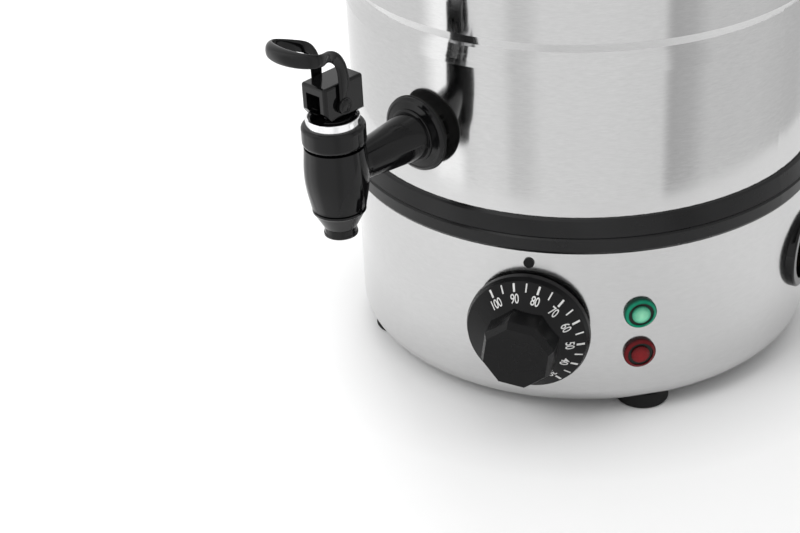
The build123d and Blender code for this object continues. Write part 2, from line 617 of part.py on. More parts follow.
arm = turned([(0, tail_end), (TAIL_R - 1, tail_end), (TAIL_R, tail_end + 1), (TAIL_R, washer_face),
              (FLANGE_R, washer_face), (FLANGE_R, washer_face + FLANGE_EDGE), (FLANGE_FACE_R, flange_face),
              (FLANGE_FACE_R - 0.9, flange_face), (SHANK_BEAD_R, bead_face - 0.9), (SHANK_BEAD_R, bead_face),
              (SHANK_ROOT_R, bead_face + 0.3), (SHANK_END_R, TAP_REACH - BARREL_R), (SHANK_END_R, TAP_REACH),
              (0, TAP_REACH)], [(5, 0.3), (9, 0.4)], shank)
tap_body = barrel + arm
tap_body -= tap * drum(CHAMBER_R, SEAT_Z + SEAT_T, BARREL_TOP_Z + 1)
tap_body -= tap * drum(SEAT_BORE_R, SEAT_Z - 1, SEAT_Z + SEAT_T + 1)
tap_body -= tap * drum(SPOUT_BORE_R, SPOUT_Z - 1, SEAT_Z)
tap_body -= disc(shank, SHANK_BORE_R, tail_end - 1, TAP_REACH)
save("tap_body", tap_body)

washer = turned([(TAIL_R + SLIP, TANK_R - 3), (WASHER_FOOT_R, TANK_R - 3), (WASHER_FOOT_R, washer_face - WASHER_RIM),
                 (WASHER_R, washer_face - WASHER_RIM), (WASHER_R, washer_face), (TAIL_R + SLIP, washer_face)],
                [(3, 0.3), (4, 0.3)], shank) - drum(TANK_R, 0, TANK_TOP)
save("tap_washer", washer)
inner_face = TANK_R * cos(radians(8.5)) - SHEET
inner_washer = ring(shank, INNER_WASHER_R, TAIL_R + SLIP, inner_face - INNER_WASHER_T, inner_r + 2)
inner_washer &= drum(inner_r - 2 * SLIP, 0, TANK_TOP)
nut_face = inner_face - INNER_WASHER_T
locknut = hexagon(shank, LOCKNUT_AF, nut_face - LOCKNUT_T, nut_face, TAIL_R + SLIP)
save("tap_inner_washer", inner_washer)
save("tap_locknut", locknut)

# ---- tap: bonnet, collar, ring and yoke ----------------------------------------------------------
collar_low = BARREL_TOP_Z + COLLAR_OFF
collar_top = collar_low + COLLAR_H
bonnet_r = CHAMBER_R - SLIP
ring_in = RING_R - RING_WALL
ring_low = RING_TOP_Z - RING_DEPTH
well_z = BONNET_TOP_Z - WELL_DEPTH
oring_z = well_z - 2.4
bonnet = tap * turned(
    [(STEM_R + RUN, BARREL_TOP_Z - BONNET_PLUG), (bonnet_r, BARREL_TOP_Z - BONNET_PLUG),
     (bonnet_r, BARREL_TOP_Z), (ring_in - SLIP, BARREL_TOP_Z), (ring_in - SLIP, BONNET_TOP_Z),
     (WELL_R, BONNET_TOP_Z), (WELL_R, well_z), (STEM_R + RUN, well_z),
     (STEM_R + RUN, oring_z + ORING_R), (STEM_R + 2 * ORING_R, oring_z + ORING_R),
     (STEM_R + 2 * ORING_R, oring_z - ORING_R), (STEM_R + RUN, oring_z - ORING_R)])
collar_bore = ring_in + SLIP
collar = tap * turned(
    [(collar_bore, collar_low), (COLLAR_R, collar_low), (COLLAR_R, collar_top), (RING_R + SLIP, collar_top),
     (RING_R + SLIP, ring_low), (collar_bore, ring_low)],
    [(1, COLLAR_LOW), (2, COLLAR_TOP)])
bright_ring = tap * turned(
    [(ring_in, ring_low), (RING_R, ring_low), (RING_R, RING_TOP_Z), (ring_in, RING_TOP_Z)], [(2, 0.5), (3, 0.3)])
oring = tap * Pos(0, 0, oring_z) * Torus(STEM_R + ORING_R, ORING_R * 0.98)
save("tap_bonnet", bonnet)
save("tap_collar", collar)
save("tap_ring", bright_ring)
save("stem_seal", oring)

yoke_low = BONNET_TOP_Z + YOKE_FOOT
pivot = Vector(0, -TAP_REACH - PIVOT_AHEAD, PIVOT_Z)
yoke_mid = level(0, -TAP_REACH + YOKE_BACK, yoke_low)
yoke = brick(yoke_mid, YOKE_W, YOKE_L, 0, YOKE_H)
yoke = fillet(yoke.edges().filter_by(Axis.Z), YOKE_EDGE + 0.3)
yoke = fillet(yoke.faces().sort_by(Axis.Z)[-1].edges(), YOKE_EDGE)
half_l, half_w = YOKE_L / 2, YOKE_W / 2
wedge = outline([(-half_l, 0), (-half_l + YOKE_BEVEL, 0), (-half_l, YOKE_BEVEL_H)])
yoke -= Plane(origin=yoke_mid.origin, x_dir=(0, 1, 0), z_dir=(1, 0, 0)) * extrude(wedge, YOKE_W, both=True)
for side in (-1, 1):
    wedge = outline([(side * half_w, 0), (side * (half_w - YOKE_SIDE_BEVEL), 0), (side * half_w, YOKE_SIDE_BEVEL)])
    yoke -= Plane(origin=yoke_mid.origin, x_dir=(1, 0, 0), z_dir=(0, -1, 0)) * extrude(wedge, YOKE_L, both=True)
yoke += tap * drum(ring_in - 0.8, BONNET_TOP_Z, yoke_low)
yoke -= brick(yoke_mid, YOKE_SLOT, YOKE_L + 10, -YOKE_FOOT - 1, YOKE_H - YOKE_CROWN)
side_plane = Plane(origin=pivot, x_dir=(0, -1, 0), z_dir=(-1, 0, 0))   # x forward, y up, seen from the left
yoke -= disc(side_plane, PIVOT_R + RUN, -YOKE_W, YOKE_W)
save("tap_yoke", yoke)

# ---- tap: lever ----------------------------------------------------------------------------------
arm_in = half_w + ARM_GAP
arm_out = arm_in + ARM_T
top, under = LEVER_TOP, LEVER_TOP - LEVER_BAND
reach = LOOP_TIP + 1
back_top = [(-ARM_BACK, ARM_RISE), (-ARM_BACK + 1.7, top - 10.4), (-ARM_BACK + 5.8, top - 5.6), (5.4, top - 4.0),
            (10.0, top - 1.9), (LOOP_MIDDLE, top - 0.3), (reach, top)]
front_low = [(reach, under), (LOOP_MIDDLE, under - 0.1), (11.0, under - 1.2), (7.8, under - 1.9),
             (4.2, under - 3.8), (ARM_FRONT, ARM_RISE + 1.5)]
side_view = make_face([
    Line((-ARM_BACK, 0), back_top[0]), Spline(*back_top, tangents=[(0, 1), (1, -0.05)]),
    Line(back_top[-1], front_low[0]), Spline(*front_low, tangents=[(-1, 0), (0, -1)]),
    Line(front_low[-1], (ARM_FRONT, 0)), Line((ARM_FRONT, 0), (-ARM_BACK, 0))])
slab = side_plane * extrude(side_view, LOOP_HALF + 1, both=True)


def half_plan(side):
    """Outer edge of one half of the loop seen from above, from the arm's back to the loop's tip."""
    points = [(5.0, arm_out + 0.1), (9.6, LOOP_HALF - 1.9), (13.0, LOOP_HALF - 0.5), (LOOP_MIDDLE, LOOP_HALF),
              (LOOP_TIP - 3.2, LOOP_HALF - 3.4), (LOOP_TIP - 0.8, LOOP_HALF - 7.1), (LOOP_TIP, 0)]
    points = [(x, y * side) for x, y in points]
    return [Line((-ARM_BACK - 1, arm_out * side), (2.0, arm_out * side)),
            Spline((2.0, arm_out * side), *points, tangents=[(1, 0), (0, -side)])]


plan = make_face(half_plan(1) + half_plan(-1) + [Line((-ARM_BACK - 1, arm_out), (-ARM_BACK - 1, -arm_out))])
hole_half = LOOP_HALF - LOOP_WALL
mouth = outline([(-ARM_BACK - 2, -arm_in), (4.0, -arm_in), (9.6, -hole_half + 1.9), (13.0, -hole_half + 0.4),
                 (LOOP_HOLE_FRONT, -hole_half), (LOOP_HOLE_FRONT, hole_half), (13.0, hole_half - 0.4),
                 (9.6, hole_half - 1.9), (4.0, arm_in), (-ARM_BACK - 2, arm_in)],
                [(1, 5), (2, 5), (4, 2.2), (5, 2.2), (7, 5), (8, 5)])
top_plane = Plane(origin=(pivot.X, pivot.Y, 0), x_dir=(0, -1, 0), z_dir=(0, 0, 1))
lever = slab & (top_plane * extrude(plan - mouth, PIVOT_Z + 60))
notch = outline([(-ARM_BACK - 1, NOTCH_LOW), (-ARM_BACK + NOTCH_IN + 0.6, NOTCH_LOW + 1.2),
                 (-ARM_BACK, NOTCH_HIGH), (-ARM_BACK - 1, NOTCH_HIGH)])
lever -= side_plane * extrude(notch, LOOP_HALF, both=True)
boss = disc(side_plane, BOSS_R, arm_in, arm_out + BOSS_PROUD) + disc(side_plane, BOSS_R, -arm_out - BOSS_PROUD, -arm_in)
lever += boss
lever -= disc(side_plane, PIVOT_R, -LOOP_HALF * 2, LOOP_HALF * 2)
save("tap_lever", lever)

pin_half = arm_out + BOSS_PROUD - 0.2
lever_pin = disc(side_plane, PIVOT_R, -pin_half, pin_half)
cam_side = make_hull([Circle(CAM_HUB_R).edge(), (Pos(CAM_REACH, CAM_NOSE_R - CAM_HUB_R) * Circle(CAM_NOSE_R)).edge()])
cam = side_plane * extrude(cam_side, CAM_W / 2, both=True)
cam -= disc(side_plane, PIVOT_R, -CAM_W, CAM_W)
save("lever_pin", lever_pin)
save("lever_cam", cam)

# ---- tap: stem, valve disc and spring ------------------------------------------------------------
button_top = PIVOT_Z - CAM_HUB_R - 0.1
button_low = button_top - BUTTON_T
stem_low = SEAT_Z - SLIP - DISC_T - 1.0
stem = tap * turned(
    [(0, stem_low), (STEM_R * 1.5, stem_low), (STEM_R * 1.5, stem_low + 1), (STEM_R, stem_low + 1),
     (STEM_R, button_low), (BUTTON_R, button_low), (BUTTON_R, button_top), (0, button_top)], [(6, 0.4)])
valve_disc = tap * turned(
    [(STEM_R, stem_low + 1), (DISC_R - 0.8, stem_low + 1), (DISC_R, stem_low + 1.8), (DISC_R, SEAT_Z - SLIP),
     (STEM_R, SEAT_Z - SLIP)])
spring_r = (STEM_R + WELL_R) / 2
spring_low, spring_high = well_z + SPRING_WIRE, button_low - SPRING_WIRE
helix = Helix((spring_high - spring_low) / SPRING_TURNS, spring_high - spring_low, spring_r)
coil = sweep(Plane(origin=helix @ 0, z_dir=helix % 0) * Circle(SPRING_WIRE), helix, is_frenet=True)
save("valve_stem", stem)
save("valve_disc", valve_disc)
save("stem_spring", tap * Pos(0, 0, spring_low) * coil)

# ---- side handles --------------------------------------------------------------------------------
grip_in = TANK_R + HANDLE_CLEAR
grip_out = grip_in + HANDLE_GRIP
pad_r = TANK_R + BRACKET_T


def wedge(half):
    """Flat triangle from the axis that covers an angle either side of +X."""
    far = 2 * grip_out
    return outline([(0, 0), (far, -far * tan(radians(half))), (far, far * tan(radians(half)))])


post_angle = degrees(HANDLE_POST / grip_in)
plan_view = (Circle(grip_out) - Circle(pad_r)) & wedge(HANDLE_SPAN)
plan_view -= (Circle(grip_in) - Circle(pad_r - 1)) & wedge(HANDLE_SPAN - post_angle)
ends = [v for v in plan_view.vertices() if hypot(v.X, v.Y) > grip_out - 1]
plan_view = fillet(ends, HANDLE_SOFT * 1.6)
inner = [v for v in plan_view.vertices() if abs(hypot(v.X, v.Y) - grip_in) < 0.5]
plan_view = fillet(inner, HANDLE_SOFT)
handle = Pos(0, 0, HANDLE_Z - HANDLE_H / 2) * extrude(plan_view, HANDLE_H)
edges = handle.faces().sort_by(Axis.Z)[-1].edges() + handle.faces().sort_by(Axis.Z)[0].edges()
handle = fillet([e for e in edges if hypot(e.center().X, e.center().Y) > pad_r + 2], HANDLE_SOFT * 0.8)
save("handle_right", handle)
save("handle_left", Rot(0, 0, 180) * handle)
bracket = ring(Plane.XY, pad_r - SLIP, TANK_R + SLIP, HANDLE_Z - BRACKET_W / 2, HANDLE_Z + BRACKET_W / 2)
bracket &= extrude(wedge(HANDLE_SPAN - 1.5), TANK_TOP)
save("handle_brackets", bracket, Rot(0, 0, 180) * bracket)

# ---- lid ----------------------------------------------------------------------------------------
lid_low = rim_top + GAP
lid_r = rim_c + RIM_R + LID_PLAY + LID_SHEET
crown_z = lid_low + LID_SHEET + LID_DOME
plug_r = inner_r - PLUG_GAP
flat_r = KNOB_FOOT_R + 4
dome = [(flat_r, crown_z), (60, crown_z - 3.6), (86, crown_z - 9.5), (98, lid_low + LID_SHEET)]
lid_shell = revolve(Plane.XZ * make_face([
    Polyline((flat_r, crown_z - LID_SHEET), (0, crown_z - LID_SHEET), (0, crown_z), (flat_r, crown_z)),
    Spline(*dome, tangents=[(1, 0), (1, -0.15)]),
    Polyline(dome[-1], (lid_r - 1, lid_low + LID_SHEET), (lid_r, lid_low + 0.4), (lid_r, lid_low - LID_EDGE_H),
             (lid_r - LID_SHEET, lid_low - LID_EDGE_H), (lid_r - LID_SHEET, lid_low), (dome[-1][0], lid_low)),
    Spline(*[(r, z - LID_SHEET) for r, z in reversed(dome)], tangents=[(-1, 0.15), (-1, 0)])]), Axis.Z)
plug = ring(Plane.XY, plug_r, plug_r - LID_SHEET, lid_low - PLUG_DEPTH, lid_low)
for cut in around(LID_VENTS, 150, Pos(0, -VENT_RING, crown_z) * Cylinder(VENT_R, 40)):
    lid_shell -= cut
lid_hole = drum(SCREW_R + SLIP, crown_z - 20, crown_z + 5)
lid_shell -= lid_hole
save("lid_shell", lid_shell)
save("lid_plug", plug)

knob_low = crown_z + 1.0
pad = ring(Plane.XY, KNOB_FOOT_R + 2, SCREW_R + SLIP, crown_z, knob_low)
knob = turned([(SCREW_R + SLIP, knob_low), (KNOB_FOOT_R, knob_low), (KNOB_FOOT_R, knob_low + 2),
               (KNOB_NECK_R, knob_low + KNOB_H * 0.45), (KNOB_R, knob_low + KNOB_H * 0.66),
               (KNOB_R, knob_low + KNOB_H * 0.84), (KNOB_R * 0.72, knob_low + KNOB_H),
               (0, knob_low + KNOB_H), (0, knob_low + KNOB_H * 0.6), (SCREW_R + SLIP, knob_low + KNOB_H * 0.6)],
              [(2, 0.8), (3, 5.0), (4, 2.0), (5, 3.0), (6, 5.0)])
head = crown_z - LID_SHEET
lid_screw = turned([(0, head - SCREW_HEAD_H), (SCREW_HEAD_R, head - SCREW_HEAD_H), (SCREW_HEAD_R, head),
                    (SCREW_R, head), (SCREW_R, knob_low + KNOB_H * 0.55), (0, knob_low + KNOB_H * 0.55)], [(1, 1.0)])
save("lid_pad", pad)
save("lid_knob", knob)
save("lid_screw", lid_screw)
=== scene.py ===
# %% [markdown]
# # A hot water urn, dressed for the camera
# The drum, base, tap, dial and lid come from the solid model as a fixed frame. This script gives
# every one of them its finish, adds the small pieces that belong to the surface, such as the dial's
# ticks and numbers, and sets a plain studio round the urn. Lengths are metres and +Z is up. The
# drum's axis is the Z axis, the table is z = 0 and the tap points to -Y.

# %% Load the frame
import json
from math import sin, cos, atan2, degrees, radians, pi, hypot
import bpy
from mathutils import Matrix, Vector

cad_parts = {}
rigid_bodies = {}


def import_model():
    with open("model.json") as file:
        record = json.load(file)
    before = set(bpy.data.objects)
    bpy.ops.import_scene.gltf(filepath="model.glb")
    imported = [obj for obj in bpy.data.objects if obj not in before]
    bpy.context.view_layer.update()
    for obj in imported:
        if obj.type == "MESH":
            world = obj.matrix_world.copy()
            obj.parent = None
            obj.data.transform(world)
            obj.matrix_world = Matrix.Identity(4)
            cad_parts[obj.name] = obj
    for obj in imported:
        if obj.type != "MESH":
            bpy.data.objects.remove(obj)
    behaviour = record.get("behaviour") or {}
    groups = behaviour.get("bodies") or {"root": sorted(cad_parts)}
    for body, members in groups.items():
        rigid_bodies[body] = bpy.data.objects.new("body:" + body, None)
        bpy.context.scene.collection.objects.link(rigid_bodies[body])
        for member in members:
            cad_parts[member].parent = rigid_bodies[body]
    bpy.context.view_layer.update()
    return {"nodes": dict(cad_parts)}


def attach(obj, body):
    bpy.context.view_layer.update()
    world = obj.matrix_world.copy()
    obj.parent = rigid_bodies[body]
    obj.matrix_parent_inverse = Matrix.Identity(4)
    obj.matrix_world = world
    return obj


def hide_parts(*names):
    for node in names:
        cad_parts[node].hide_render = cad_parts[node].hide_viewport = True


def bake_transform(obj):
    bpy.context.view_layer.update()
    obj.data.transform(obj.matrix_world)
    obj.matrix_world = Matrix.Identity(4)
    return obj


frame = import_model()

nodes = frame["nodes"]
print(len(nodes), "solids in the frame")

# %% [markdown]
# ## The camera
# It stands a little above the tap's height, in front of the urn and to the side of the dial, and
# looks down at the tap and the base from less than a metre. It could be aimed with a Track To
# constraint, but its turn is written out as a matrix, because a tripod also leaves a small roll.
# The lens is long, so the drum stays nearly straight.

# %% Place the camera
CAMERA_PLACE = Vector((0.46590, -0.58363, 0.45985))
CAMERA_HEADING, CAMERA_DOWN, CAMERA_ROLL = 45.3467, 30.6208, -3.2662
camera_turn = (Matrix.Rotation(radians(CAMERA_HEADING), 4, "Z")
               @ Matrix.Rotation(radians(90 - CAMERA_DOWN), 4, "X")
               @ Matrix.Rotation(radians(CAMERA_ROLL), 4, "Z"))
camera_data = bpy.data.cameras.new("camera")
camera_data.lens = 80.343
camera_data.sensor_width = 36.0
camera_data.clip_start = 0.02
camera = bpy.data.objects.new("camera", camera_data)
camera.matrix_world = Matrix.Translation(CAMERA_PLACE) @ camera_turn
bpy.context.scene.collection.objects.link(camera)
bpy.context.scene.camera = camera
print("camera", round(CAMERA_PLACE.length, 3), "m from the urn's foot")

# %% [markdown]
# ## Places on the urn
# The base carries its controls on rays that leave the drum's axis at an azimuth, counted from the
# tap towards +X. A place on such a ray has its own small frame: x to the right as seen from
# outside, y up and z outwards. Pieces could be placed by hand with sines and cosines, but a matrix
# does it once for all of them: a piece is modelled in the small frame and laid into the urn's.

# %% Frames on the drum
DRUM_R = 0.105
DIAL_AZ, DIAL_Z = 26.6, 0.0465
LAMP_AZ, LAMP_HIGH_Z, LAMP_LOW_Z = 52.2, 0.0536, 0.0336
TAP_REACH, SHANK_Z = 0.1557, 0.1302    # the tap's upright axis and the height of its level shank


def on_ray(azimuth, reach, height):
    """Matrix of the frame at a reach along a level ray at an azimuth in degrees."""
    a = radians(azimuth)
    across, out = Vector((cos(a), sin(a), 0)), Vector((sin(a), -cos(a), 0))
    turn = Matrix((across, Vector((0, 0, 1)), out)).transposed().to_4x4()
    return Matrix.Translation(Vector((reach * sin(a), -reach * cos(a), height))) @ turn


print("dial frame at", tuple(round(v, 4) for v in on_ray(DIAL_AZ, DRUM_R, DIAL_Z).translation))

# %% [markdown]
# ## Helpers for materials
# A material is a small tree of nodes. Written out one by one, making a node, filling its sockets
# and linking it takes three lines each time; these helpers take them in one, so that a finish
# reads like a recipe.

# %% Nodes and sockets
def material(name):
    """A new node material: returns it with its nodes, links and principled shader."""
    mat = bpy.data.materials.new(name)
    mat.use_nodes = True
    tree = mat.node_tree
    return mat, tree.nodes, tree.links, tree.nodes["Principled BSDF"]


def add(tn, kind, **settings):
    """A node of a kind with its settings. Values of sockets go through put()."""
    node = tn.new(kind)
    for key, value in settings.items():
        setattr(node, key, value)
    return node


def put(node, **values):
    """Writes values to sockets; an underscore in a key stands for a space."""
    for key, value in values.items():
        node.inputs[key.replace("_", " ")].default_value = value


def deselect():
    bpy.ops.object.select_all(action="DESELECT")


print("helpers for nodes ready")

# %% [markdown]
# ## Building blocks for finishes
# Most finishes need the same few things. Polar coordinates round the drum's axis give brushing
# that follows the rolled sheet. Local coordinates give patterns that are centred on a knob or a
# lamp. Each block is a handful of nodes on the object's own coordinates and not on the camera's,
# so the pattern stays on the metal from every side.

# %% Coordinates and small node chains
def maths(tn, tl, operation, a, b=None):
    """A Math node; a and b are sockets or numbers."""
    node = add(tn, "ShaderNodeMath", operation=operation)
    for index, value in enumerate((a, b)):
        if value is None:
            continue
        if isinstance(value, (int, float)):
            node.inputs[index].default_value = value
        else:
            tl.new(value, node.inputs[index])
    return node.outputs[0]


def split(tn, tl, socket):
    """The three numbers of a vector."""
    node = add(tn, "ShaderNodeSeparateXYZ")
    tl.new(socket, node.inputs[0])
    return node.outputs[0], node.outputs[1], node.outputs[2]


def joined(tn, tl, x, y, z):
    """A vector of three sockets."""
    node = add(tn, "ShaderNodeCombineXYZ")
    for index, socket in enumerate((x, y, z)):
        tl.new(socket, node.inputs[index])
    return node.outputs[0]


def own_place(tn):
    """The object's own coordinates, in metres."""
    return add(tn, "ShaderNodeTexCoord").outputs["Object"]


def local_place(tn, tl, matrix):
    """Coordinates in the frame of a matrix: x to the right, y up, z outwards."""
    turn = add(tn, "ShaderNodeMapping", vector_type="TEXTURE")
    put(turn, Location=matrix.translation, Rotation=matrix.to_euler())
    tl.new(own_place(tn), turn.inputs["Vector"])
    return turn.outputs["Vector"]


def polar(tn, tl, place):
    """Angle, height and radius of a place round its z axis."""
    x, y, z = split(tn, tl, place)
    angle = maths(tn, tl, "ARCTAN2", y, x)
    radius = maths(tn, tl, "SQRT", maths(tn, tl, "ADD", maths(tn, tl, "MULTIPLY", x, x),
                                         maths(tn, tl, "MULTIPLY", y, y)))
    return angle, z, radius


print("coordinates ready")

# %% [markdown]
# ## Patterns
# Wear, hairlines and grain are all a noise field whose range is carried to the range of a colour,
# a roughness or a height. Image textures could do the same, but a noise has no seams and no
# resolution, and each finish needs only its scale and its two ends.

# %% Noise, ranges, mixes and bumps
def noise(tn, tl, vector, scale, detail=3.0, rough=0.5):
    node = add(tn, "ShaderNodeTexNoise")
    put(node, Scale=scale, Detail=detail, Roughness=rough)
    tl.new(vector, node.inputs["Vector"])
    return node.outputs["Fac"]


def spread(tn, tl, socket, low, high, from_low=0.3, from_high=0.7):
    """Carries a pattern's range to the range from low to high."""
    node = add(tn, "ShaderNodeMapRange")
    put(node, From_Min=from_low, From_Max=from_high, To_Min=low, To_Max=high)
    tl.new(socket, node.inputs["Value"])
    return node.outputs["Result"]


def mixed(tn, tl, factor, first, second):
    """Mix of two colours by a factor socket; each colour is a colour or a socket."""
    node = add(tn, "ShaderNodeMix", data_type="RGBA")
    for name, value in (("Factor", factor), ("A", first), ("B", second)):
        socket = [s for s in node.inputs if s.name == name and s.enabled][0]
        if isinstance(value, tuple):
            socket.default_value = (*value, 1)
        else:
            tl.new(value, socket)
    return [s for s in node.outputs if s.enabled][0]


def ramp(tn, tl, socket, stops):
    """Colour ramp with (position, colour) stops."""
    node = add(tn, "ShaderNodeValToRGB")
    while len(node.color_ramp.elements) < len(stops):
        node.color_ramp.elements.new(0.5)
    for element, (position, colour) in zip(node.color_ramp.elements, stops):
        element.position = position
        element.color = (*colour, 1)
    tl.new(socket, node.inputs["Fac"])
    return node.outputs["Color"]


def bumped(tn, tl, shader, *layers):
    """Chains bumps of (height socket, strength, distance) onto the shader's normal."""
    last = None
    for height, strength, distance in layers:
        node = add(tn, "ShaderNodeBump")
        put(node, Strength=strength, Distance=distance)
        tl.new(height, node.inputs["Height"])
        if last:
            tl.new(last, node.inputs["Normal"])
        last = node.outputs["Normal"]
    tl.new(last, shader.inputs["Normal"])


print("patterns ready")

# %% [markdown]
# ## The table
# The urn stands on a wide sheet of pale paper that fills the view. Close round the base the paper's
# colour is painted darker, a painted shadow round the urn's foot that pales away from the base. A
# lamp on the paper could brighten the paper further out too, but it would also light the urn; the
# painted colour leaves the light as it is.

# %% Lay the table
TABLE_SIZE = 6.0
# The nearer tone is painted shade: the paper is painted darker next to the base and pales to its own tone
# further from the axis.
PAPER_PAINTED_SHADE, PAPER_FAR = 0.84, 0.995              # tones of the paper
SHADE_FADE_FROM, SHADE_FADE_TO = 0.112, 0.15               # distances from the axis between which it pales
deselect()
bpy.ops.mesh.primitive_plane_add(size=TABLE_SIZE, location=(0, 0, 0))
table = bpy.context.object
table.name = "studio_table"
bpy.ops.object.mode_set(mode="EDIT")
bpy.ops.mesh.subdivide(number_cuts=3)
bpy.ops.object.mode_set(mode="OBJECT")
paper, pn, pl, shader = material("paper_with_painted_shade")
put(shader, Roughness=0.75)
# Painted shadow: the paper's colour darkens towards the urn's foot.
from_axis = add(pn, "ShaderNodeVectorMath", operation="LENGTH")
pl.new(own_place(pn), from_axis.inputs[0])
pl.new(spread(pn, pl, from_axis.outputs["Value"], PAPER_PAINTED_SHADE, PAPER_FAR, SHADE_FADE_FROM, SHADE_FADE_TO),
       shader.inputs["Base Color"])
grain = add(pn, "ShaderNodeTexNoise")
put(grain, Scale=900.0, Detail=2.0)
bumped(pn, pl, shader, (grain.outputs["Fac"], 0.05, 0.0002))
table.data.materials.append(paper)
print("table of", TABLE_SIZE, "m laid")

# %% [markdown]
# ## The tent
# A product is often lit inside a white tent. Here the tent is the world itself, brighter overhead
# than at the horizon, so the shadow gathers close under the base. An even world would be simpler,
# but it lights the foot of the urn from the side as much as the lid from above.

# %% Brightness of the tent
TENT_LOW, TENT_HIGH = 0.34, 1.06
world = bpy.data.worlds.new("studio")
bpy.context.scene.world = world
world.use_nodes = True
wn, wl = world.node_tree.nodes, world.node_tree.links
sky_height = split(wn, wl, add(wn, "ShaderNodeTexCoord").outputs["Generated"])[2]
wl.new(spread(wn, wl, sky_height, TENT_LOW, TENT_HIGH, 0.0, 1.0), wn["Background"].inputs["Strength"])
put(wn["Background"], Color=(1, 1, 1, 1))
print("tent from", TENT_LOW, "to", TENT_HIGH)

# %% [markdown]
# ## The screen round the urn
# Polished steel shows its surroundings more than itself, so what stands in the room matters as
# much as the lamps. A round screen, which only mirrors can see, stands close to the urn. It is
# bright with a few grey stretches, as windows, walls and a stand in a real studio would be, and
# gives the drum its upright bands. Real walls could be built, but bands by azimuth are easier to
# move, and the screen casts no shadow.

# %% Build and paint the screen
SCREEN_R, SCREEN_LOW, SCREEN_HIGH = 0.205, 0.052, 0.62
SCREEN_BANDS = [    # azimuth from the tap towards +X, in degrees, and brightness
    (-180, 0.80), (-140, 0.95), (-100, 1.05), (-22, 1.0), (-15, 1.5), (-7, 1.5), (-3, 1.05),
    (4, 1.10), (11, 1.06), (15, 0.88), (20, 0.90), (25, 1.04), (48, 1.02), (66, 0.97), (69.5, 0.60),
    (77, 0.66), (84, 0.84), (106, 0.84), (133, 0.70), (158, 0.86), (180, 0.80)]
deselect()
bpy.ops.mesh.primitive_cylinder_add(vertices=128, radius=SCREEN_R, depth=SCREEN_HIGH - SCREEN_LOW,
                                    end_fill_type="NOTHING")
screen = bpy.context.object
screen.name = "studio_screen"
screen.location = (0, 0, (SCREEN_LOW + SCREEN_HIGH) / 2)
bpy.ops.object.transform_apply(location=True)
bpy.ops.object.shade_smooth()
cloth, cn, cl, unused = material("screen_cloth")
cn.remove(unused)
x, y, _ = split(cn, cl, own_place(cn))
azimuth = maths(cn, cl, "ARCTAN2", x, maths(cn, cl, "MULTIPLY", y, -1))
stops = [((degree + 180) / 360, (tone, tone, tone)) for degree, tone in SCREEN_BANDS]
glow = add(cn, "ShaderNodeEmission")
cl.new(ramp(cn, cl, spread(cn, cl, azimuth, 0.0, 1.0, -pi, pi), stops), glow.inputs["Color"])
cl.new(glow.outputs[0], cn["Material Output"].inputs["Surface"])
screen.data.materials.append(cloth)
screen.visible_camera = screen.visible_diffuse = screen.visible_shadow = False
print("screen of", len(SCREEN_BANDS), "bands")

# %% [markdown]
# ## The lamps
# One large soft lamp in front of the urn gives the light its direction, and a second one behind
# it puts a sheen on level black faces. Spots or a sun would draw hard edges; a wide rectangle is
# what a softbox is.

# %% Hang the lamps
def softbox(name, place, target, size, power):
    """A rectangular area lamp at a place, turned to its target."""
    data = bpy.data.lights.new(name, "AREA")
    data.shape = "RECTANGLE"
    data.size, data.size_y = size
    data.energy = power
    lamp = bpy.data.objects.new(name, data)
    lamp.location = place
    lamp.rotation_euler = (Vector(target) - Vector(place)).to_track_quat("-Z", "Y").to_euler()
    bpy.context.scene.collection.objects.link(lamp)


softbox("key_lamp", (-0.2, -1.5, 1.6), (0, -0.1, 0.1), (1.0, 1.0), 15)
softbox("rim_lamp", (-1.0, 0.9, 0.9), (0, -0.1, 0.15), (0.9, 0.7), 9)
bpy.context.scene.view_settings.view_transform = "Standard"

# %% [markdown]
# ## Steel of the drum, lid and base
# The drum is rolled from polished sheet. Its last polish leaves fine level streaks: a few
# millimetres long round the drum and a millimetre or less high. They could be drawn on an image,
# but a noise field in polar coordinates, stretched several times along the angle, follows the roll
# by itself. A fine field and a coarser one together move the roughness and the tone a little. A
# cloudy field stands for wiping marks. A weld runs up the back of the drum and the base.

# %% Sheet steel
SEAM_AT, SEAM_HALF = pi / 2, 0.004    # angle of the weld, at the back, and half its width; radians


